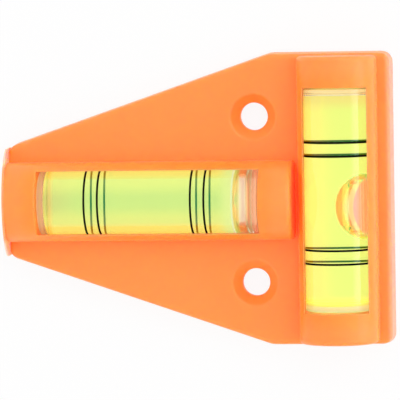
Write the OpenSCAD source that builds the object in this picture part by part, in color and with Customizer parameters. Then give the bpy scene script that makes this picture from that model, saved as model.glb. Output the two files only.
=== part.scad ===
// T-shaped bubble level: a moulded plastic housing with two clear vials, one along
// its stem and one across its head. It lies flat on its hollow back, with the origin
// in the middle of that back face, +X from the narrow end to the wide end and +Z up
// through the windows.

/* [Plate] */
// Length of the plate from its narrow end to its wide end
plate_l = 70.5; // [68:0.5:90]
// Width across the wide end
plate_w = 53; // [52:0.5:80]
// Width across the narrow end
neck_w = 20; // [19:0.5:26]
// Length of the straight sides at the wide end
head_l = 22.1; // [19:0.1:30]
// Height of the plate
plate_t = 4.8; // [4:0.1:6]
// Thickness of the plate's top skin over the hollow back
skin_t = 2; // [1.5:0.1:2.5]
// Thickness of the side walls at the back face
wall_t = 1.8; // [1.2:0.1:2.6]
// Lean of the outer walls off upright, in degrees
draft = 3.4; // [0:0.1:4]
// Rounding of the plate's top edge
edge_r = 0.8; // [0.2:0.1:0.8]
// Corner radius at the wide end
head_corner_r = 2; // [1.2:0.1:4]
// Radius where the slanted sides meet the straight ones
shoulder_r = 4; // [1.2:0.1:8]
// Corner radius at the narrow end
neck_corner_r = 2.5; // [1.2:0.1:3]

/* [Barrels] */
// Wall of a barrel over its vial
barrel_wall = 1.1; // [0.8:0.1:1.6]
// Strip of flat plate outside the cross barrel
rim_strip = 2.5; // [2:0.1:6]
// Gap between the end of the long barrel and the side of the cross barrel
barrel_gap = 0.8; // [0.4:0.1:3]
// Solid length of the long barrel past its vial, beside the cross barrel
stem_end = 5.8; // [4:0.1:8]
// Set-back of the cross barrel's ends from the edges of the plate
barrel_setback = 0.65; // [0.4:0.05:2]
// Rounding round the ends of the barrels
barrel_end_r = 0.8; // [0.2:0.1:1]
// Width of the windows over the vials
window_w = 11.5; // [9:0.1:11.8]
// Thickness of the walls left round the hollow ends of the barrels
core_wall = 1.5; // [1:0.1:1.8]

/* [End flange] */
// Width of the thin arched flange at the narrow end
flange_w = 19.5; // [17:0.5:19.5]
// Thickness of the flange
flange_t = 0.3; // [0.3:0.1:1.2]
// Radius of the flange's arch
flange_r = 10.2; // [9.8:0.1:12]

/* [Screw holes] */
// Distance between the two screw holes
hole_spacing = 30; // [28:0.5:34]
// Distance of the screw holes from the wide end
hole_from_end = 25; // [24.5:0.5:30]
// Diameter of the screw holes
hole_d = 5; // [3:0.1:5.4]
// Diameter of the countersinks at the plate's face
sink_d = 8.3; // [6.6:0.1:8.8]
// Rounding of the countersinks' rims
sink_rim_r = 0.8; // [0.1:0.1:0.9]
// Diameter of the bosses round the holes
boss_d = 10; // [9.6:0.1:11]
// Length of the straight hole under the countersink, down to the boss's end
hole_l = 1.25; // [0.8:0.05:3]

/* [Ribs] */
// Thickness of the stiffening ribs in the hollow back
rib_t = 1.2; // [0.8:0.1:2]
// Set-back of the ribs from the back face
rib_drop = 0.5; // [0.2:0.1:1.5]

/* [Vials] */
// Outer diameter of a vial
vial_d = 12; // [11.9:0.1:12.4]
// Length of a vial over its plug
vial_l = 40; // [36:0.5:41]
// Height of the vials above the back face
vial_lift = 0.95; // [0.6:0.05:1.5]
// Clearance round a vial in its seat
vial_fit = 0.05; // [0.03:0.01:0.1]
// Clearance at each end of a vial
vial_end_fit = 0.2; // [0.1:0.05:0.4]
// Diameter of the bore at its middle
bore_d = 10; // [8.5:0.1:10.2]
// Narrowing of the bore's radius from its middle to its ends
bore_crown = 0.15; // [0.05:0.01:0.25]
// Thickness of the closed end of a vial
vial_floor = 1; // [0.8:0.1:2]
// Thickness of the plug's flange
plug_t = 0.8; // [0.6:0.1:2]
// Length of the plug's spigot inside the bore
spigot_l = 0.4; // [0.3:0.1:1.5]
// Clearance of the spigot in the bore, filled by the cement
spigot_fit = 0.03; // [0.02:0.01:0.06]
// Diameter of the dome on the plug's inner face
dome_d = 6.2; // [4:0.1:8]
// Height of that dome
dome_h = 0.15; // [0.1:0.05:0.4]

/* [Snap lips] */
// How far a lip reaches under the vial
lip_bite = 0.45; // [0.3:0.05:0.6]
// Length of a lip along the vial
lip_l = 5; // [3:0.5:8]
// Distance from the middle of the vial to each pair of lips
lip_from_middle = 12; // [6:0.5:13]

/* [Rings] */
// Distance between the two pairs of rings
ring_pair_gap = 19.3; // [14:0.1:24]
// Distance between the two rings of a pair
ring_gap = 2.45; // [1.5:0.05:4]
// Set-off of the rings' middle from the vial's middle, away from the plug
ring_shift = 0.45; // [0:0.05:1]
// Width of a printed ring
ring_w = 0.38; // [0.2:0.02:0.6]
// Thickness of the ink
ring_t = 0.02; // [0.01:0.005:0.025]

/* [Bubbles] */
// Film of liquid left between the bubble, the liquid and the walls in this model
film = 0.02; // [0.02:0.005:0.04]
// Length of the air pocket at the plug end of the long vial
pocket_l = 3.3; // [1.5:0.1:6]
// Rounding of the air pocket's rims
pocket_r = 0.9; // [0.4:0.1:1]
// Length of the bubble in the cross vial
bubble_l = 11.8; // [6:0.1:16]
// Diameter of the round body that the bubble is cut from
bubble_d = 7.7; // [6:0.1:8.2]
// How far the bubble reaches past the vial's axis
bubble_reach = 0.4; // [0:0.05:1]
// Distance of the bubble from the vial's middle, away from the plug
bubble_shift = 1.2; // [0:0.1:5]

/* [Hidden] */
$fn = 96;

half_l = plate_l / 2;
half_w = plate_w / 2;
slant = atan2(half_w - neck_w / 2, plate_l - head_l);
seat_r = vial_d / 2 + vial_fit;
seat_l = vial_l + 2 * vial_end_fit;
barrel_r = seat_r + barrel_wall;
axis_z = vial_lift + vial_d / 2;
height = axis_z + barrel_r;
crown_x = height * tan(draft) - half_l;
hole_x = half_l - hole_from_end;
hole_y = hole_spacing / 2;
rib_x = (hole_x - half_l) / 2;

// Places of the two barrels and of the vials in them
cross_x = half_l - rim_strip - barrel_r;
stem_x = cross_x - barrel_r - barrel_gap;
long_x = stem_x - stem_end - seat_l / 2;
cross_l = plate_w - 2 * barrel_setback;

// Inside of a vial, along its own axis from the closed end to the plug
bore_start = -vial_l / 2 + vial_floor;
tube_end = vial_l / 2 - plug_t;
spigot_face = tube_end - spigot_l;
bore_end_r = bore_d / 2 - bore_crown;

// Colours of the moulded plastic, the acrylic, the ink, the liquid and the air
HOUSING_COLOUR = [1, 0.55, 0.27];
ACRYLIC_COLOUR = [0.93, 0.95, 0.93, 0.3];
INK_COLOUR = [0.03, 0.04, 0.03];
LIQUID_COLOUR = [0.85, 0.97, 0.35, 0.6];
AIR_COLOUR = [1, 0.93, 0.85, 0.4];

// Height of the slanted side's line at x, and place along it at y, moved inwards by inset
function slant_y(x, inset) = neck_w / 2 + (x + half_l) * tan(slant) - inset / cos(slant);
function slant_x(y, inset) = -half_l + (y + inset / cos(slant) - neck_w / 2) / tan(slant);

// Points of an arc about (cx, cy) from one angle to another
function arc(cx, cy, r, from, to, steps = 6) =
    [for (i = [0:steps]) let (a = from + (to - from) * i / steps) [cx + r * cos(a), cy + r * sin(a)]];

// Radius of the bore at x along the vial
function bore_r(x) = bore_d / 2 - bore_crown * pow(2 * x / (tube_end - bore_start), 2);

// Turns a profile of [radius, place along the axis] about the X axis
module spin_about_x(profile) {
    rotate([0, 90, 0]) rotate_extrude() polygon(profile);
}

// Puts what is drawn along X at the long vial's place or the cross vial's place
module at_long_vial() {
    translate([long_x, 0, axis_z]) children();
}

module at_cross_vial() {
    translate([cross_x, 0, axis_z]) rotate([0, 0, 90]) children();
}

// Corner post of the plate, with the leaning wall and the rounded top edge
module plate_corner(x, y, r) {
    rim = r - (plate_t - edge_r * (1 - sin(draft))) * tan(draft) - edge_r * cos(draft);
    profile = concat([[0, 0], [r, 0]], arc(rim, plate_t - edge_r, edge_r, draft, 90), [[0, plate_t]]);
    translate([x, y, 0]) rotate_extrude($fn = 32) polygon(profile);
}

module plate_body() {
    neck_x = neck_corner_r + flange_t / 2 - half_l;
    shoulder_y = half_w - shoulder_r;
    hull() for (side = [0, 1]) mirror([0, side, 0]) {
        plate_corner(half_l - head_corner_r, half_w - head_corner_r, head_corner_r);
        plate_corner(slant_x(shoulder_y, shoulder_r), shoulder_y, shoulder_r);
        plate_corner(neck_x, slant_y(neck_x, neck_corner_r), neck_corner_r);
    }
}

// Bar with a half-round top, straight sides and rounded ends, lying along X from 0 to l
module barrel_bar(l) {
    turned = concat([[0, 0]],
                    arc(barrel_r - barrel_end_r, barrel_end_r, barrel_end_r, -90, 0),
                    arc(barrel_r - barrel_end_r, l - barrel_end_r, barrel_end_r, 0, 90),
                    [[0, l]]);
    footprint = [for (corner = [[-1, 1, 90], [-1, -1, 180], [1, -1, 270], [1, 1, 0]])
                     each arc(l / 2 + corner[0] * (l / 2 - barrel_end_r),
                              corner[1] * (barrel_r - barrel_end_r),
                              barrel_end_r, corner[2], corner[2] + 90)];
    translate([0, 0, axis_z]) spin_about_x(turned);
    linear_extrude(axis_z) polygon(footprint);
}

// Slab across the narrow end that leans with the draft, between two depths from its face
module leaning_slab(from, to) {
    translate([-half_l, 0, 0]) rotate([0, draft, 0])
        translate([from, -half_w - 5, -5]) cube([to - from, plate_w + 10, height + 10]);
}

// Thin arched flange that leans with the draft at the narrow end
module end_flange() {
    arch_z = height - flange_r;
    intersection() {
        leaning_slab(-1, flange_t);
        translate([-half_l - 2, 0, 0]) rotate([90, 0, 90]) linear_extrude(height) {
            translate([-flange_w / 2, 0]) square([flange_w, arch_z]);
            intersection() {
                translate([0, arch_z]) circle(flange_r);
                translate([-flange_w / 2, 0]) square([flange_w, height]);
            }
        }
    }
}

// Everything outside the back face and the leaning face of the narrow end
module outside_faces() {
    translate([-half_l - 10, -half_w - 5, -5]) cube([plate_l + 20, plate_w + 10, 5]);
    leaning_slab(-10, 0);
}

// Outline of the hollow back, less the barrels, the screw bosses and, if asked, the ribs
module hollow_outline(with_ribs) {
    inner_x = half_l - wall_t;
    inner_y = half_w - wall_t;
    upper = [[-inner_x, slant_y(-inner_x, wall_t)], [slant_x(inner_y, wall_t), inner_y], [inner_x, inner_y]];
    lower = [for (i = [2:-1:0]) [upper[i][0], -upper[i][1]]];
    difference() {
        polygon(concat(upper, lower));
        translate([-half_l, -barrel_r]) square([plate_l, 2 * barrel_r]);
        translate([cross_x - barrel_r, -half_w]) square([half_l, plate_w]);
        for (side = [-1, 1]) translate([hole_x, side * hole_y]) circle(d = boss_d);
        if (with_ribs) for (x = [hole_x, rib_x])
            translate([x - rib_t / 2, -half_w]) square([rib_t, plate_w]);
        if (with_ribs) for (side = [-1, 1])
            translate([hole_x, side * hole_y - rib_t / 2]) square([cross_x - hole_x, rib_t]);
    }
}

// Hollow in the end of a barrel, along X between two places
module end_core(from, to) {
    core_r = barrel_r - core_wall;
    length = to - from - 2 * core_wall;
    if (length > 0.5) translate([from + core_wall, 0, 0]) {
        translate([0, 0, axis_z]) rotate([0, 90, 0]) cylinder(r = core_r, h = length);
        translate([0, -core_r, -1]) cube([length, 2 * core_r, axis_z + 1]);
    }
}

// Seat of a vial, open to the back, with the window above it
module vial_seat() {
    translate([-seat_l / 2, 0, 0]) {
        rotate([0, 90, 0]) cylinder(r = seat_r, h = seat_l);
        translate([0, -seat_r, -axis_z - 1]) cube([seat_l, 2 * seat_r, axis_z + 1]);
        translate([0, -window_w / 2, 0]) cube([seat_l, window_w, height]);
    }
}

// Four small lips in the seat's straight sides, which the vial snaps past
module snap_lips() {
    root = 0.2;
    tip_y = seat_r - lip_bite;
    top_z = -sqrt(seat_r * seat_r - tip_y * tip_y);
    section = [[seat_r + root, top_z], [tip_y, top_z], [tip_y, top_z - 0.5],
               [seat_r + root, top_z - 0.5 - 2 * (lip_bite + root)]];
    for (end = [-1, 1], side = [0, 1]) mirror([0, side, 0])
        translate([end * lip_from_middle - lip_l / 2, 0, 0])
            rotate([90, 0, 90]) linear_extrude(lip_l) polygon(section);
}

// Hole with a countersink whose rounded rim meets the plate's face, over a short boss
module screw_hole() {
    cone_h = (sink_d - hole_d) / 2;
    boss_end = plate_t - cone_h - hole_l;
    rim_x = sink_rim_r * tan(22.5);
    rim = arc(sink_d / 2 + rim_x, -sink_rim_r, sink_rim_r, 135, 90);
    translate([0, 0, -1]) cylinder(d = hole_d, h = plate_t + 2);
    translate([0, 0, boss_end - plate_t]) cylinder(d = boss_d, h = plate_t);
    translate([0, 0, plate_t]) rotate_extrude()
        polygon(concat([[0, -cone_h], [hole_d / 2, -cone_h]], rim, [[sink_d / 2 + rim_x, 1], [0, 1]]));
}

module housing() color(HOUSING_COLOUR) {
    difference() {
        union() {
            plate_body();
            translate([-half_l - 5, 0, 0]) barrel_bar(stem_x + half_l + 5);
            translate([cross_x, -cross_l / 2, 0]) rotate([0, 0, 90]) barrel_bar(cross_l);
            end_flange();
        }
        outside_faces();
        translate([0, 0, -1]) linear_extrude(plate_t - skin_t + 1) hollow_outline(true);
        translate([0, 0, -1]) linear_extrude(rib_drop + 1) hollow_outline(false);
        at_long_vial() vial_seat();
        at_cross_vial() vial_seat();
        end_core(crown_x, long_x - seat_l / 2);
        end_core(long_x + seat_l / 2, stem_x);
        for (turn = [-90, 90]) translate([cross_x, 0, 0]) rotate([0, 0, turn])
            end_core(seat_l / 2, cross_l / 2);
        for (side = [-1, 1]) translate([hole_x, side * hole_y, 0]) screw_hole();
    }
    at_long_vial() snap_lips();
    at_cross_vial() snap_lips();
}

// Tube with one closed end and a bore that is widest at its middle
module vial_tube() {
    bore = [for (i = [0:12]) let (x = bore_start + (tube_end - bore_start) * i / 12) [bore_r(x), x]];
    difference() {
        translate([-vial_l / 2, 0, 0]) rotate([0, 90, 0]) cylinder(d = vial_d, h = tube_end + vial_l / 2);
        spin_about_x(concat([[0, bore_start]], bore, [[bore_end_r, tube_end + 1], [0, tube_end + 1]]));
    }
}

// Plug cemented into the open end, with a low dome on its inner face
module vial_plug() {
    dome_r = (pow(dome_d / 2, 2) + dome_h * dome_h) / (2 * dome_h);
    dome_a = asin(dome_d / 2 / dome_r);
    dome = arc(0, spigot_face - dome_h + dome_r, dome_r, -90, dome_a - 90, 4);
    spin_about_x(concat([[0, vial_l / 2]], dome,
                        [[bore_end_r - spigot_fit, spigot_face], [bore_end_r - spigot_fit, tube_end],
                         [vial_d / 2, tube_end], [vial_d / 2, vial_l / 2]]));
}

// Printed ring round the outside of the tube, counted from the closed end; rings 1 and 2
// are one pair, and rings 3 and 4 the other
module vial_ring(i) {
    pair_x = (i > 2 ? 0.5 : -0.5) * ring_pair_gap - ring_shift;
    ring_x = pair_x + (i % 2 == 0 ? 0.5 : -0.5) * ring_gap;
    translate([ring_x - ring_w / 2, 0, 0]) rotate([0, 90, 0]) difference() {
        cylinder(d = vial_d + 2 * ring_t, h = ring_w);
        translate([0, 0, -1]) cylinder(d = vial_d, h = ring_w + 2);
    }
}

// What the bore holds between the closed end and the plug, less a film at its skin
module vial_fill() {
    from = bore_start + film;
    to = spigot_face - dome_h - film;
    fill = [for (i = [0:12]) let (x = from + (to - from) * i / 12) [bore_r(x) - film, x]];
    spin_about_x(concat([[0, from]], fill, [[0, to]]));
}

// Air pocket that fills the bore beside the plug, swollen by skin
module air_pocket(skin = 0) {
    r = bore_end_r - 2 * film + skin;
    to = spigot_face - dome_h - 2 * film + skin;
    from = to - pocket_l - 2 * skin;
    round_r = pocket_r + skin;
    spin_about_x(concat([[0, from]],
                        arc(r - round_r, from + round_r, round_r, -90, 0),
                        arc(r - round_r, to - round_r, round_r, 0, 90),
                        [[0, to]]));
}

// Long bubble that lies against the side of the bore, swollen by skin
module side_bubble(skin = 0) {
    half = bubble_l / 2 + skin;
    r = bubble_d / 2 + skin;
    body = [for (i = [0:16]) let (a = -90 + 180 * i / 16) [i % 16 == 0 ? 0 : r * cos(a), half * sin(a)]];
    wall_r = bore_end_r - 2 * film + skin;
    translate([-bubble_shift, 0, 0]) intersection() {
        translate([0, bubble_reach - bubble_d / 2, 0]) spin_about_x(body);
        translate([-half, 0, 0]) rotate([0, 90, 0]) cylinder(r = wall_r, h = 2 * half);
    }
}

module long_vial_tube() color(ACRYLIC_COLOUR) at_long_vial() vial_tube();
module long_vial_plug() color(ACRYLIC_COLOUR) at_long_vial() vial_plug();
module long_vial_ring(i) color(INK_COLOUR) at_long_vial() vial_ring(i);
module long_vial_liquid() color(LIQUID_COLOUR) at_long_vial() difference() {
    vial_fill();
    air_pocket(film);
}
module long_vial_bubble() color(AIR_COLOUR) at_long_vial() air_pocket();

module cross_vial_tube() color(ACRYLIC_COLOUR) at_cross_vial() vial_tube();
module cross_vial_plug() color(ACRYLIC_COLOUR) at_cross_vial() vial_plug();
module cross_vial_ring(i) color(INK_COLOUR) at_cross_vial() vial_ring(i);
module cross_vial_liquid() color(LIQUID_COLOUR) at_cross_vial() difference() {
    vial_fill();
    side_bubble(film);
}
module cross_vial_bubble() color(AIR_COLOUR) at_cross_vial() side_bubble();

housing();
long_vial_tube();
long_vial_plug();
long_vial_liquid();
long_vial_bubble();
cross_vial_tube();
cross_vial_plug();
cross_vial_liquid();
cross_vial_bubble();
for (i = [1:4]) {
    long_vial_ring(i);
    cross_vial_ring(i);
}
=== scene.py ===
from math import asin, cos, pi, radians, sin

import bmesh
import bpy
from mathutils import Matrix, Vector


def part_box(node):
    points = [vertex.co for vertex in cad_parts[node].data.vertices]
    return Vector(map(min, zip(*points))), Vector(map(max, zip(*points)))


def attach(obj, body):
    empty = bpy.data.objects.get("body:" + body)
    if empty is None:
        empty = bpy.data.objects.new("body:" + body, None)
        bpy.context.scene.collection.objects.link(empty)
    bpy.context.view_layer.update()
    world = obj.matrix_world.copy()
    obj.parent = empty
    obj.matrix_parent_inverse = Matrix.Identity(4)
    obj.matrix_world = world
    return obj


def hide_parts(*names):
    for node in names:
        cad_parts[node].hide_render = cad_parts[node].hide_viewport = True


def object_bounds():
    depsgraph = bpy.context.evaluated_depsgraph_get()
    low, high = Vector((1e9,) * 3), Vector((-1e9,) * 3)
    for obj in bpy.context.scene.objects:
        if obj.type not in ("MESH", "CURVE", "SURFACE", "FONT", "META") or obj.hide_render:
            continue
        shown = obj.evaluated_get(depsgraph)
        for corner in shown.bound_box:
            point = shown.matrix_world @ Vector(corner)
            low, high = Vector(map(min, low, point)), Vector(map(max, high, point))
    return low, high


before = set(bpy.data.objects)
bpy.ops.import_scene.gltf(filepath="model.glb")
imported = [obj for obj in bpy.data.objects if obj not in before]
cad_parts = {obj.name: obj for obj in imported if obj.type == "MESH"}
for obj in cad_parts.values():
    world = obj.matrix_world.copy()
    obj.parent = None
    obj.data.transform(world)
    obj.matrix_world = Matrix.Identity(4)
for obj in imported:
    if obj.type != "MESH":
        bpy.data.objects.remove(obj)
cad_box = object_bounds()

# The camera looks down on the face with the windows from 0.75 m away, a little from the
# wide end, so the level nearly fills the frame and its far flange leans into view.
MM = 0.001
scene = bpy.context.scene
camera_place = Vector((100.82, 41.26, 748.35)) * MM
camera_aim = Vector((0.675, 0.16, 7)) * MM
camera_roll = radians(-0.93)

camera_data = bpy.data.cameras.new("camera")
camera_data.sensor_width = 36
camera_data.lens = 373.8
camera_data.clip_start = 0.05
camera = bpy.data.objects.new("camera", camera_data)
back = (camera_place - camera_aim).normalized()
level_right = Vector((0, 1, 0)).cross(back).normalized()
level_up = back.cross(level_right)
right = level_right * cos(camera_roll) + level_up * sin(camera_roll)
camera.rotation_mode = "QUATERNION"
camera.rotation_quaternion = Matrix((right, back.cross(right), back)).transposed().to_quaternion()
camera.location = camera_place
scene.collection.objects.link(camera)
scene.camera = camera


# The housing is one injection moulding of translucent orange plastic: the plate, both
# barrels, the end flange and the hollow back. Its skin is satin, with the mould's fine
# texture. Its colour also holds painted light: open edges are paler, partly as wear and
# partly as painted highlight; the wide end wall has a painted highlight; the thin flange is
# painted paler with light shining through; near the vials it is painted a deeper orange
# with their light; and it has a painted orange glow, stronger in the seats.
class Wire:
    """A socket of a material that works in sums as a number does."""

    def __init__(self, tree, socket=None):
        self.tree = tree
        self.socket = socket

    def node(self, kind, settings=None, inputs=None, output=0):
        made = self.tree.nodes.new(kind)
        for name, value in (settings or {}).items():
            setattr(made, name, value)
        for name, value in (inputs or {}).items():
            if isinstance(value, Wire):
                self.tree.links.new(value.socket, made.inputs[name])
            else:
                made.inputs[name].default_value = value
        return Wire(self.tree, made.outputs[output])

    def maths(self, operation, first, second=0.0):
        return self.node("ShaderNodeMath", {"operation": operation}, {0: first, 1: second})

    def __add__(self, other):
        return self.maths("ADD", self, other)

    def __sub__(self, other):
        return self.maths("SUBTRACT", self, other)

    def __rsub__(self, other):
        return self.maths("SUBTRACT", other, self)

    def __mul__(self, other):
        return self.maths("MULTIPLY", self, other)

    __radd__ = __add__
    __rmul__ = __mul__


def new_material(name):
    """An empty material, its first wire and the function that joins a shader to its output."""
    material = bpy.data.materials.new(name)
    material.use_nodes = True
    tree = material.node_tree
    tree.nodes.clear()
    out = tree.nodes.new("ShaderNodeOutputMaterial")

    def finish(shader):
        tree.links.new(shader.socket, out.inputs["Surface"])
        return material

    return Wire(tree), finish


def blend_colour(wire, share, first, second):
    return wire.node("ShaderNodeMix", {"data_type": "RGBA"}, {0: share, 6: first, 7: second}, 2)


def blend_shader(wire, share, first, second):
    return wire.node("ShaderNodeMixShader", inputs={0: share, 1: first, 2: second})


def smooth_share(wire, value, low, high):
    """0 below low, 1 above high, and a smooth step between them."""
    return wire.node("ShaderNodeMapRange", {"interpolation_type": "SMOOTHSTEP"},
                     {"Value": value, "From Min": low, "From Max": high})


def away_from(wire, place, point):
    return wire.node("ShaderNodeVectorMath", {"operation": "SUBTRACT"}, {0: place, 1: point})


def measure(wire, place, direction, unit=MM):
    """How far a place lies along a direction, in millimetres or another unit."""
    return wire.node("ShaderNodeVectorMath", {"operation": "DOT_PRODUCT"},
                     {0: place, 1: direction / unit}, output=1)


def paint(piece, *materials):
    """Sets a piece's materials without touching which face wears which."""
    slots = piece.data.materials
    for i, material in enumerate(materials):
        if i < len(slots):
            slots[i] = material
        else:
            slots.append(material)


plastic_orange = (1.0, 0.35, 0.068, 1)
plastic_deep = (1.0, 0.32, 0.056, 1)
# Painted light: edges paler as wear and painted highlight, a deeper orange from the vials' light, light
# through the thin flange, and a painted glow of the plastic and its seats
plastic_wear_and_highlight = (1.0, 0.47, 0.49, 1)
plastic_vial_lit = (1.0, 0.315, 0.032, 1)
plastic_thin_lit_through = (1.0, 0.66, 0.52, 1)
plastic_painted_glow = (0.13, 0.0104, 0.0013, 1)
seat_painted_glow = {"long": (0.2, 0.045, 0.008, 1), "cross": (0.24, 0.1, 0.02, 1)}
seat_room = 0.1
near_start = 1.005
seat_end = 1.02
beside_end = 1.2
plastic_draft = radians(3.4)
flange_thickness = 0.3
flange_fade = (1.0, 1.4)
barrel_sides = (6.2, 7.6)
thin_least = 0.2
plate_rim = (4.9, 5.6)
outer_sides = (24.6, 25.2)
wide_end = (33.8, 35.4)
end_wall_highlight = 0.45
edge_radius = 0.25
wear_and_highlight_radius = 0.6
wear_and_highlight_bend = (0.8, 1.0)
wear_and_highlight_inside = 0.1
wear_and_highlight_outside = 0.8
open_reach = 1.2
open_share = (0.7, 0.9)


def near_vial(wire, place, name, upright, fade_end):
    """Where the moulding is near a vial, which throws light into it, from 1 to 0. upright is 1 for
    the seat round the vial, and 0 for all that is above and below it as well."""
    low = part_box(name + "_vial_tube")[0]
    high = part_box(name + "_vial_plug")[1]
    reach = (high - low) / 2 + Vector((1, 1, 1)) * seat_room * MM
    lengthwise = Vector((name == "long", name == "cross", 0))
    from_middle = away_from(wire, place, (low + high) / 2)
    share = 0.0
    for axes in (lengthwise, Vector((1, 1, upright)) - lengthwise):
        scale = Vector([axis / half for axis, half in zip(axes, reach)])
        scaled = wire.node("ShaderNodeVectorMath", {"operation": "MULTIPLY"}, {0: from_middle, 1: scale})
        away = wire.node("ShaderNodeVectorMath", {"operation": "LENGTH"}, {0: scaled}, output=1)
        share = wire.maths("MAXIMUM", away, share)
    return 1 - smooth_share(wire, share, near_start, fade_end)


wire, finish = new_material("orange_plastic")
place = wire.node("ShaderNodeTexCoord", output=3)
cloud = wire.node("ShaderNodeTexNoise", inputs={"Vector": place, "Scale": 60.0, "Detail": 3.0})
grain = wire.node("ShaderNodeTexNoise", inputs={"Vector": place, "Scale": 3500.0, "Detail": 2.0})
rounded = wire.node("ShaderNodeBevel", {"samples": 6}, {"Radius": edge_radius * MM})
bumped = wire.node("ShaderNodeBump", inputs={"Height": grain, "Strength": 0.04, "Distance": 0.02 * MM,
                                             "Normal": rounded})
flat = wire.node("ShaderNodeNewGeometry", output=1)
wide_round = wire.node("ShaderNodeBevel", {"samples": 6}, {"Radius": wear_and_highlight_radius * MM})
bend = wire.node("ShaderNodeVectorMath", {"operation": "DOT_PRODUCT"}, {0: wide_round, 1: flat}, output=1)
open_air = wire.node("ShaderNodeAmbientOcclusion", {"samples": 4, "only_local": True},
                     {"Distance": open_reach * MM}, output=1)
# Open edges are paler, partly as wear and partly as painted highlight; the occlusion keeps it off edges
# in the shade, and it is strongest on the outer rims
wear_and_highlight = (1 - smooth_share(wire, bend, *wear_and_highlight_bend)) * smooth_share(wire, open_air, *open_share)
flange_face = Vector((cos(plastic_draft), 0, -sin(plastic_draft)))
from_foot = away_from(wire, place, Vector((cad_box[0].x, 0, 0)))
depth = measure(wire, from_foot, flange_face, flange_thickness * MM)
lengthways = measure(wire, place, Vector((1, 0, 0)))
sideways = wire.maths("ABSOLUTE", measure(wire, place, Vector((0, 1, 0))))
height = measure(wire, place, Vector((0, 0, 1)))
on_plate = 1 - smooth_share(wire, height, *plate_rim)
outer_rim = wire.maths("MAXIMUM", on_plate, smooth_share(wire, sideways, *outer_sides))
# Painted highlight: the wide end's rim is paler, as if lit by the window beyond it
end_wall = smooth_share(wire, lengthways, *wide_end) * on_plate
beside_barrel = smooth_share(wire, sideways, *barrel_sides)
# Painted light shining through the thin flange, weaker where the barrel's end stands behind it
thin = (1 - smooth_share(wire, depth, *flange_fade)) * (beside_barrel * (1 - thin_least) + thin_least)
shade = blend_colour(wire, cloud, plastic_orange, plastic_deep)
# Painted light: the moulding near each vial is a deeper orange, as lit by the vial's liquid
for name in ("long", "cross"):
    shade = blend_colour(wire, near_vial(wire, place, name, 0, beside_end), shade, plastic_vial_lit)
wear_and_highlight = wear_and_highlight * (outer_rim * (wear_and_highlight_outside - wear_and_highlight_inside) + wear_and_highlight_inside)
wear_and_highlight_share = wire.maths("MAXIMUM", wear_and_highlight, end_wall * end_wall_highlight)
shade = blend_colour(wire, wear_and_highlight_share, shade, plastic_wear_and_highlight)
shade = blend_colour(wire, thin, shade, plastic_thin_lit_through)
# Painted glow of light in the plastic, stronger in the seats, where the liquid's light falls
glow = plastic_painted_glow
for name in ("long", "cross"):
    glow = blend_colour(wire, near_vial(wire, place, name, 1, seat_end), glow, seat_painted_glow[name])
skin = wire.node("ShaderNodeBsdfPrincipled", {"subsurface_method": "RANDOM_WALK"}, {
    "Base Color": shade,
    "Roughness": grain * 0.1 + 0.33,
    "IOR": 1.5,
    "Subsurface Weight": 1.0,
    "Subsurface Radius": (1.0, 0.1, 0.03),
    "Subsurface Scale": 4.0 * MM,
    "Sheen Weight": 0.08,
    "Sheen Roughness": 0.25,
    "Sheen Tint": (1.0, 0.82, 0.88, 1),
    "Emission Color": glow,
    "Emission Strength": 1.0,
    "Normal": bumped,
})
orange_plastic = finish(skin)
paint(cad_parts["housing"], orange_plastic)


# The two vial tubes are turned or moulded from clear acrylic, 12 mm across and closed at
# one end, with a bore that is a little wider at its middle. Each lies in its seat behind
# a window, held by four snap lips.
# Lifts a tube's outer face off the inner faces of its rings, which would share its place
ring_overlap = 0.004
clear_tint = (0.97, 0.985, 0.97, 1)
no_glow = (0, 0, 0, 1)
acrylic_index = 1.49
liquid_index = 1.40


class Vial:
    """A vial's own directions and place: x runs from the closed end's outer face to the plug."""

    def __init__(self, name, along):
        self.name = name
        self.along = Vector(along)
        self.up = Vector((0, 0, 1))
        self.across = self.up.cross(self.along)
        low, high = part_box(name + "_vial_tube")
        middle = (low + high) / 2
        self.tube_length = (high - low).dot(self.along) / MM
        self.radius = (high - low).z / 2 / MM
        self.start = middle - self.along * self.tube_length / 2 * MM

    def point(self, x, r, angle):
        side = self.across * cos(angle) + self.up * sin(angle)
        return self.start + (self.along * x + side * r) * MM

    def distance_along(self, wire, place):
        """Distance from the closed end's outer face, in millimetres, of a place in the level."""
        return measure(wire, away_from(wire, place, self.start), self.along)

    def share_across(self, wire, place):
        """Distance sideways from the vial's axis, as a share of the bore's radius."""
        return measure(wire, away_from(wire, place, self.start), self.across, bore_radius * MM)

    def lathe(self, name, profile, kinds=None, steps=96):
        """A closed body of revolution through a profile of (x, radius), in millimetres. kinds gives
        the material of each stretch of the profile."""
        body = bmesh.new()
        rows = []
        stretch_kinds = []
        for k, (x, r) in enumerate(profile):
            if k:
                stretch_kinds += [kinds[k - 1] if kinds else 0] * supported(rows, profile[k - 1], (x, r))
            rows.append((x, r))
        loops = []
        for x, r in rows:
            count = steps if r > 0 else 1
            loops.append([body.verts.new(self.point(x, r, 2 * pi * i / steps)) for i in range(count)])
        for kind, here, after in zip(stretch_kinds, loops, loops[1:]):
            for i in range(steps):
                j = (i + 1) % steps
                corners = [here[i % len(here)], after[i % len(after)],
                           after[j % len(after)], here[j % len(here)]]
                face = body.faces.new(list(dict.fromkeys(corners)))
                face.smooth = True
                face.material_index = kind
        bmesh.ops.recalc_face_normals(body, faces=body.faces)
        mesh = bpy.data.meshes.new(name)
        body.to_mesh(mesh)
        body.free()
        mesh.set_sharp_from_angle(angle=radians(35))
        piece = bpy.data.objects.new(name, mesh)
        scene.collection.objects.link(piece)
        return piece


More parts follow.
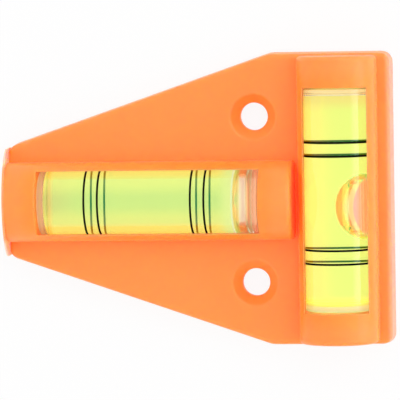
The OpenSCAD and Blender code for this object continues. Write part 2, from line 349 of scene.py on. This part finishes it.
def supported(rows, start, end, near=0.06):
    """Adds rows close to both ends of a long stretch, so that the roundings at its ends don't bend
    its shading. Returns how many stretches it becomes."""
    run = Vector(end) - Vector(start)
    if run.length < 8 * near:
        return 1
    step = run.normalized() * near
    rows.append(tuple(Vector(start) + step))
    rows.append(tuple(Vector(end) - step))
    return 3


vials = [Vial("long", (1, 0, 0)), Vial("cross", (0, 1, 0))]
long_vial, cross_vial = vials

bore_radius = 5.0
bore_crown = 0.15
bore_rows = 24
floor_thickness = 1.0
floor_fillet = 0.65
inner_end = floor_thickness + floor_fillet
end_round = 0.5
mouth_round = 0.03
polished = 0.0
dulled = 0.3
sawn = 0.45


def curve(cx, cr, radius, start, end, steps=6):
    """Points of an arc in the profile's plane, with its angles in degrees."""
    angles = [radians(start + (end - start) * i / steps) for i in range(steps + 1)]
    return [(cx + radius * cos(a), cr + radius * sin(a)) for a in angles]


def bore_at(vial, x):
    half = (vial.tube_length - floor_thickness) / 2
    return bore_radius - bore_crown * ((x - floor_thickness - half) / half) ** 2


def clear_glass(name, index, vial, tint=clear_tint, glow=no_glow, roughness=polished, fade=None):
    """Clear plastic that bends what is seen through it and lets the light of lamps pass. Where fade
    is given, tint, glow and roughness fade out between two distances from the vial's closed end."""
    wire, finish = new_material(name + "_" + vial.name)
    place = wire.node("ShaderNodeTexCoord", output=3)
    waves = wire.node("ShaderNodeTexNoise", inputs={"Vector": place, "Scale": 250.0, "Detail": 1.0})
    wavy = wire.node("ShaderNodeBump", inputs={"Height": waves, "Strength": 0.05, "Distance": 0.05 * MM})
    if fade:
        clear = smooth_share(wire, vial.distance_along(wire, place), *fade)
        tint = blend_colour(wire, clear, tint, clear_tint)
        glow = blend_colour(wire, clear, glow, no_glow)
        roughness = (1 - clear) * roughness
    solid = wire.node("ShaderNodeBsdfPrincipled", inputs={
        "Base Color": tint, "Roughness": roughness, "IOR": index, "Transmission Weight": 1.0,
        "Emission Color": glow, "Emission Strength": 1.0, "Normal": wavy})
    passing = wire.node("ShaderNodeBsdfTransparent", inputs={"Color": clear_tint})
    shadow = wire.node("ShaderNodeLightPath", output="Is Shadow Ray")
    return finish(blend_shader(wire, shadow, solid, passing))


# The thick ends get a painted orange and yellow tint and glow, for the light of their orange
# seats that shows through them, and their inner faces get a faint painted glow
floor_tint = {"long": (1.0, 0.46, 0.34, 1), "cross": (1.0, 1.0, 0.64, 1)}
floor_glow = {"long": (0.09, 0.02, 0.0, 1), "cross": (0.2, 0.08, 0.0, 1)}
inner_glow = {"long": (0.06, 0.08, 0.04, 1), "cross": (0.0, 0.06, 0.05, 1)}
floor_fade = {"long": (0.9, 1.9), "cross": (1.2, 2.6)}

OUTSIDE, INSIDE, MATT, FLOOR = 0, 1, 2, 3
tubes = {}
for vial in vials:
    length = vial.tube_length
    outer = vial.radius + ring_overlap
    profile = [(0, 0)]
    profile += curve(end_round, outer - end_round, end_round, 180, 90)
    matt_count = len(profile) - 1
    profile += curve(length - mouth_round, outer - mouth_round, mouth_round, 90, 0, steps=2)
    shell_count = len(profile)
    profile += [(length, bore_at(vial, length))]
    bore = [length + (inner_end - length) * i / bore_rows for i in range(bore_rows + 1)]
    profile += [(x, bore_at(vial, x)) for x in bore[1:]]
    bore_count = len(profile) - 1
    profile += curve(inner_end, bore_at(vial, inner_end) - floor_fillet,
                     floor_fillet, 90, 180, steps=10)[1:]
    profile += [(floor_thickness, 0)]
    kinds = [MATT] * matt_count + [OUTSIDE] * (shell_count - matt_count)
    kinds += [INSIDE] * (bore_count - shell_count) + [FLOOR] * (len(profile) - 1 - bore_count)
    name = vial.name + "_vial_tube"
    tube = vial.lathe("clear_" + name, profile, kinds)
    paint(tube,
          clear_glass("tube_outside", acrylic_index, vial, floor_tint[vial.name],
                      floor_glow[vial.name], dulled, floor_fade[vial.name]),
          clear_glass("tube_bore", acrylic_index / liquid_index, vial),
          clear_glass("tube_end", acrylic_index, vial, floor_tint[vial.name], roughness=sawn),
          clear_glass("tube_floor", acrylic_index / liquid_index, vial, clear_tint,
                      inner_glow[vial.name], dulled))
    tubes[vial.name] = tube
    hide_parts(name)
    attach(tube, "housing")


# Each plug is a clear acrylic disc with a short spigot, cemented into the tube's open
# end. Its inner face is slightly domed.
dome_height = 0.15
dome_radius = 3.1
dome_rows = 6
cement_gap = 0.03
joint_gap = 0.01
flange_inset = 0.02
spigot_round = 0.15
rim_round = 0.12
plug_roughness = 0.2
# The plugs' outer faces and spigots get a painted tint and glow, for the orange and yellow light of the
# housing and liquid round them
plug_tint = {"long": (1.0, 0.58, 0.31, 1), "cross": (1.0, 0.86, 0.42, 1)}
plug_glow = {"long": (0.09, 0.01, 0.005, 1), "cross": (0.07, 0.025, 0.0, 1)}
spigot_tint = {"long": (1.0, 0.55, 0.35, 1), "cross": (1.0, 0.98, 0.7, 1)}
plug_faces = {}
for vial in vials:
    low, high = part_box(vial.name + "_vial_plug")
    dome_top = (low - vial.start).dot(vial.along) / MM
    flange_end = (high - vial.start).dot(vial.along) / MM
    spigot_face = dome_top + dome_height
    plug_faces[vial.name] = dome_top
    ball = (dome_radius ** 2 + dome_height ** 2) / (2 * dome_height)
    spread = asin(dome_radius / ball)
    outer = vial.radius + ring_overlap
    spigot = bore_at(vial, vial.tube_length) - cement_gap
    joint = vial.tube_length + joint_gap
    turns = [spread * i / dome_rows for i in range(1, dome_rows + 1)]
    profile = [(dome_top, 0)]
    profile += [(dome_top + ball - ball * cos(turn), ball * sin(turn)) for turn in turns]
    profile += curve(spigot_face + spigot_round, spigot - spigot_round, spigot_round, 180, 90, steps=3)
    wet_count = len(profile) - 1
    profile += [(joint, spigot), (joint, outer - flange_inset)]
    profile += curve(flange_end - rim_round, outer - rim_round, rim_round, 90, 0, steps=3)
    profile += [(flange_end, 0)]
    kinds = [INSIDE] * wet_count + [OUTSIDE] * (len(profile) - wet_count - 2) + [MATT]
    name = vial.name + "_vial_plug"
    plug = vial.lathe("clear_" + name, profile, kinds)
    paint(plug,
          clear_glass("plug_outside", acrylic_index, vial, plug_tint[vial.name],
                      plug_glow[vial.name], plug_roughness),
          clear_glass("plug_spigot", acrylic_index / liquid_index, vial, spigot_tint[vial.name]),
          clear_glass("plug_face", acrylic_index, vial, plug_tint[vial.name], roughness=sawn))
    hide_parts(name)
    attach(plug, "housing")


# The bubbles are air in the liquid. The long vial's is a slug that fills the bore beside
# the plug; the cross vial's is a long drop that lies against the side of the bore.
def air_skin(wire, roughness, tint, glow):
    bent = wire.node("ShaderNodeBsdfGlass", inputs={
        "Color": tint, "Roughness": roughness, "IOR": 1 / liquid_index})
    lit = wire.node("ShaderNodeEmission", inputs={"Color": glow, "Strength": 1.0})
    return wire.node("ShaderNodeAddShader", inputs={0: bent, 1: lit})


def air_material(name, vial, roughness, ends, first, *zones):
    """Air in the liquid, with painted light: a tint and glow in the bore's middle, then others
    towards its sides, each with the two shares of the bore's radius between which it takes over.
    The bubble's ends have one too, with its middle and the distances from there in millimetres."""
    wire, finish = new_material(name)
    place = wire.node("ShaderNodeTexCoord", output=3)
    across = wire.maths("ABSOLUTE", vial.share_across(wire, place))
    skin = air_skin(wire, roughness, *first)
    for low, high, tint, glow in zones:
        taking_over = smooth_share(wire, across, low, high)
        skin = blend_shader(wire, taking_over, skin, air_skin(wire, roughness, tint, glow))
    middle, low, high, tint, glow = ends
    from_middle = wire.maths("ABSOLUTE", vial.distance_along(wire, place) - middle)
    taking_over = smooth_share(wire, from_middle, low, high)
    skin = blend_shader(wire, taking_over, skin, air_skin(wire, roughness, tint, glow))
    passing = wire.node("ShaderNodeBsdfTransparent")
    shadow = wire.node("ShaderNodeLightPath", output="Is Shadow Ray")
    return finish(blend_shader(wire, shadow, skin, passing))


low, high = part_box("long_vial_bubble")
slug_start = (low - long_vial.start).dot(long_vial.along) / MM
slug_end = (high - long_vial.start).dot(long_vial.along) / MM
slug_radius = (high - low).z / 2 / MM
slug_roughness = 0.22
meniscus_round = 1.4
inner = slug_radius - meniscus_round
profile = [(slug_start, 0)]
profile += curve(slug_start + meniscus_round, inner, meniscus_round, 180, 90, steps=12)
profile += curve(slug_end - meniscus_round, inner, meniscus_round, 90, 0, steps=12)
profile += [(slug_end, 0)]
slug = long_vial.lathe("long_vial_slug", profile)
# The slug's tints and glows are painted light: pale in the middle, painted orange at its sides and
# painted yellow-green towards its ends
slug_middle = [(0.97, 0.86, 0.73, 1), (0.06, 0.01, 0.0, 1)]
slug_side = (0.72, 0.85, (0.8, 0.9, 0.8, 1), (0.3, 0.1, 0.03, 1))
slug_ends = ((slug_start + slug_end) / 2, 0.7, 1.2, (0.98, 0.92, 0.78, 1), (0.14, 0.2, 0.1, 1))
paint(slug, air_material("slug_air", long_vial, slug_roughness, slug_ends, slug_middle, slug_side))
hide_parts("long_vial_bubble")
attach(slug, "long_bubble")

low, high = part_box("cross_vial_bubble")
drop_middle = ((low + high) / 2 - cross_vial.start).dot(cross_vial.along) / MM
drop_roughness = 0.05
# The drop's tints and glows are painted light: bands of the liquid's green and the walls' orange across
# it, and green at its ends
drop_tint = (0.9, 0.84, 0.75, 1)
drop_zones = [
    (drop_tint, (0.14, 0.19, 0.1, 1)),
    (0.17, 0.21, drop_tint, (0.14, 0.45, 0.16, 1)),
    (0.28, 0.31, drop_tint, (0.14, 0.54, 0.2, 1)),
    (0.37, 0.46, (0.9, 0.7, 0.58, 1), (0.14, 0.03, 0.03, 1)),
    (0.68, 0.76, (0.85, 0.64, 0.47, 1), (0.24, 0.07, 0.02, 1)),
    (0.79, 0.86, (0.85, 0.74, 0.68, 1), (0.3, 0.22, 0.1, 1))]
drop_ends = (drop_middle, 4.2, 5.2, drop_tint, (0.12, 0.32, 0.16, 1))
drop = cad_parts["cross_vial_bubble"]
paint(drop, air_material("drop_air", cross_vial, drop_roughness, drop_ends, *drop_zones))


# The liquid fills each bore. It is a yellow-green dye solution that glows a little in
# daylight. On top of that its glow is painted light: green along the middle, yellow and
# orange where it faces the orange walls, lighter on the long vial's upper side, and
# changing towards its ends. Beside the bubble there is none, so its colour stops there.
def dyed(wire, tint, glow):
    """One pass through the skin of the liquid: what it lets by and what it adds."""
    passing = wire.node("ShaderNodeBsdfTransparent", inputs={"Color": tint})
    glowing = wire.node("ShaderNodeEmission", inputs={"Color": glow, "Strength": 1.0})
    return wire.node("ShaderNodeAddShader", inputs={0: passing, 1: glowing})


liquid_gap = 0.02
# Beyond the dye's faint own glow, these glows are painted light: from the orange walls at the sides and
# edges, a lighter upper side of the long vial, and light at the ends
middle_tint = {"long": (0.855, 0.86, 0.49, 1), "cross": (1.0, 0.99, 0.51, 1)}
middle_glow = {"long": (0.01, 0.12, 0.03, 1), "cross": (0.01, 0.07, 0.005, 1)}
side_tint = {"long": (0.88, 0.86, 0.45, 1), "cross": (1.0, 0.99, 0.51, 1)}
side_glow = {"long": (0.1, 0.14, 0.04, 1), "cross": (0.14, 0.06, 0.0, 1)}
side_span = {"long": (0.1, 0.62), "cross": (-0.1, 1.0)}
upper_glow = (0.145, 0.2, 0.05, 1)
upper_span = (-0.1, 0.2)
edge_glow = (0.26, 0.08, 0.0, 1)
edge_span = (0.68, 0.88)
end_tint = {"long": (0.82, 0.82, 0.42, 1), "cross": (1.0, 0.97, 0.51, 1)}
end_glow = {"long": (0.05, 0.09, 0.05, 1), "cross": (0.04, 0.03, 0.0, 1)}
end_fade = {"long": (0.5, 8.5), "cross": (0.8, 2.2)}
plug_end_tint = {"long": (0.93, 0.93, 0.56, 1), "cross": (1.0, 0.93, 0.5, 1)}
plug_end_glow = {"long": (0.04, 0.1, 0.04, 1), "cross": (0.04, 0.04, 0.0, 1)}
plug_end_fade = {"long": (32.0, 34.8), "cross": (35.5, 38.5)}
bubble_pieces = {"long": slug, "cross": drop}
bubble_reach = {"long": (1.8, 60), "cross": (6.6, 4.9)}
dry_edge = (0.9, 1.05)
off_centre = 0.05
for vial in vials:
    top = plug_faces[vial.name] - liquid_gap
    places = [inner_end + (top - inner_end) * i / bore_rows for i in range(1, bore_rows + 1)]
    profile = [(floor_thickness + liquid_gap, 0)]
    profile += curve(inner_end, bore_at(vial, inner_end) - floor_fillet,
                     floor_fillet - liquid_gap, 180, 90, steps=10)
    profile += [(x, bore_at(vial, x) - liquid_gap) for x in places]
    profile += [(top, 0)]
    name = vial.name + "_vial_liquid"
    liquid = vial.lathe("full_" + name, profile)

    wire, finish = new_material("level_liquid_" + vial.name)
    tube_place = wire.node("ShaderNodeTexCoord", {"object": tubes[vial.name]}, output=3)
    across = vial.share_across(wire, tube_place)
    side = dyed(wire, side_tint[vial.name], side_glow[vial.name])
    if vial is long_vial:
        upper = dyed(wire, side_tint["long"], upper_glow)
        side = blend_shader(wire, smooth_share(wire, across, *upper_span), side, upper)
        across = wire.maths("ABSOLUTE", across - off_centre)
        edge = dyed(wire, side_tint["long"], edge_glow)
        side = blend_shader(wire, smooth_share(wire, across, *edge_span), side, edge)
    along = vial.distance_along(wire, tube_place)
    from_floor = smooth_share(wire, along, *end_fade[vial.name])
    floor_end = dyed(wire, end_tint[vial.name], end_glow[vial.name])
    middle = dyed(wire, middle_tint[vial.name], middle_glow[vial.name])
    middle = blend_shader(wire, from_floor, floor_end, middle)
    wet = blend_shader(wire, smooth_share(wire, across, *side_span[vial.name]), middle, side)
    to_plug = smooth_share(wire, along, *plug_end_fade[vial.name])
    plug_end = dyed(wire, plug_end_tint[vial.name], plug_end_glow[vial.name])
    wet = blend_shader(wire, to_plug, wet, plug_end)

    low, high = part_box(vial.name + "_vial_bubble")
    bubble_place = wire.node("ShaderNodeTexCoord", {"object": bubble_pieces[vial.name]}, output=3)
    from_middle = away_from(wire, bubble_place, (low + high) / 2)
    reach_along, reach_across = bubble_reach[vial.name]
    reach = vial.along * (reach_along - reach_across) * MM + Vector((1, 1, 1)) * reach_across * MM
    scaled = wire.node("ShaderNodeVectorMath", {"operation": "DIVIDE"}, {0: from_middle, 1: reach})
    away = wire.node("ShaderNodeVectorMath", {"operation": "LENGTH"}, {0: scaled}, output=1)
    dry = wire.node("ShaderNodeBsdfTransparent")
    there = smooth_share(wire, away, *dry_edge)
    paint(liquid, finish(blend_shader(wire, there, dry, wet)))
    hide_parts(name)
    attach(liquid, "housing" if vial is long_vial else "cross_liquid")


# Each vial has two pairs of rings, which show when the bubble is in the middle. They are
# printed round the tube in black ink.
wire, finish = new_material("black_ink")
place = wire.node("ShaderNodeTexCoord", output=3)
speckle = wire.node("ShaderNodeTexNoise", inputs={"Vector": place, "Scale": 2500.0, "Detail": 2.0})
ink = finish(wire.node("ShaderNodeBsdfPrincipled", inputs={
    "Base Color": blend_colour(wire, speckle, (0.001, 0.003, 0.001, 1), (0.006, 0.009, 0.004, 1)),
    "Roughness": speckle * 0.2 + 0.5,
    "Specular IOR Level": 0.05}))
for vial in vials:
    for i in range(1, 5):
        paint(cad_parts[f"{vial.name}_vial_ring_{i}"], ink)


# The level lies on a plain white floor, in soft light from a large panel overhead, from a
# window beyond its wide end and from all round.
floor_mesh = bpy.data.meshes.new("floor")
floor_white = (0.9, 0.9, 0.9, 1)
glow_seen = 0.9
glow_cast = 0.4
floor_half = 3.0
floor_corners = [(-floor_half, -floor_half, 0), (floor_half, -floor_half, 0),
                 (floor_half, floor_half, 0), (-floor_half, floor_half, 0)]
floor_mesh.from_pydata(floor_corners, [], [(0, 1, 2, 3)])
floor = bpy.data.objects.new("floor", floor_mesh)
scene.collection.objects.link(floor)
wire, finish = new_material("white_floor")
matt = wire.node("ShaderNodeBsdfDiffuse", inputs={"Color": floor_white})
bright = wire.node("ShaderNodeEmission", inputs={"Color": (1, 1, 1, 1), "Strength": 1.0})
seen = wire.node("ShaderNodeLightPath", output="Is Camera Ray")
mirrored = wire.node("ShaderNodeLightPath", output="Is Glossy Ray")
passed = wire.node("ShaderNodeLightPath", output="Is Transmission Ray")
share = seen * glow_seen + mirrored * glow_cast + passed * glow_cast
paint(floor, finish(blend_shader(wire, share, matt, bright)))

lamp_data = bpy.data.lights.new("overhead_panel", "AREA")
lamp_data.shape = "DISK"
lamp_data.size = 0.9
lamp_data.energy = 2.0
lamp = bpy.data.objects.new("overhead_panel", lamp_data)
lamp.location = (0.5, 0.4, 0.9)
lamp.rotation_mode = "QUATERNION"
lamp.rotation_quaternion = (-lamp.location).to_track_quat("-Z", "Y")
scene.collection.objects.link(lamp)

world = bpy.data.worlds.new("studio")
scene.world = world
world.use_nodes = True
background = world.node_tree.nodes["Background"]
background.inputs["Color"].default_value = (1, 1, 1, 1)
wire = Wire(world.node_tree)
window_side = Vector((1, 0.1, 0.12)).normalized()
window_reach = radians(32)
window_strength = 2.2
room_strength = 0.9
towards = measure(wire, wire.node("ShaderNodeTexCoord"), window_side, 1)
strength = smooth_share(wire, towards, cos(window_reach), 1.0) * window_strength + room_strength
world.node_tree.links.new(strength.socket, background.inputs["Strength"])

scene.view_settings.view_transform = "Standard"
scene.cycles.max_bounces = 24
scene.cycles.diffuse_bounces = 8
scene.cycles.transmission_bounces = 16
scene.cycles.transparent_max_bounces = 24
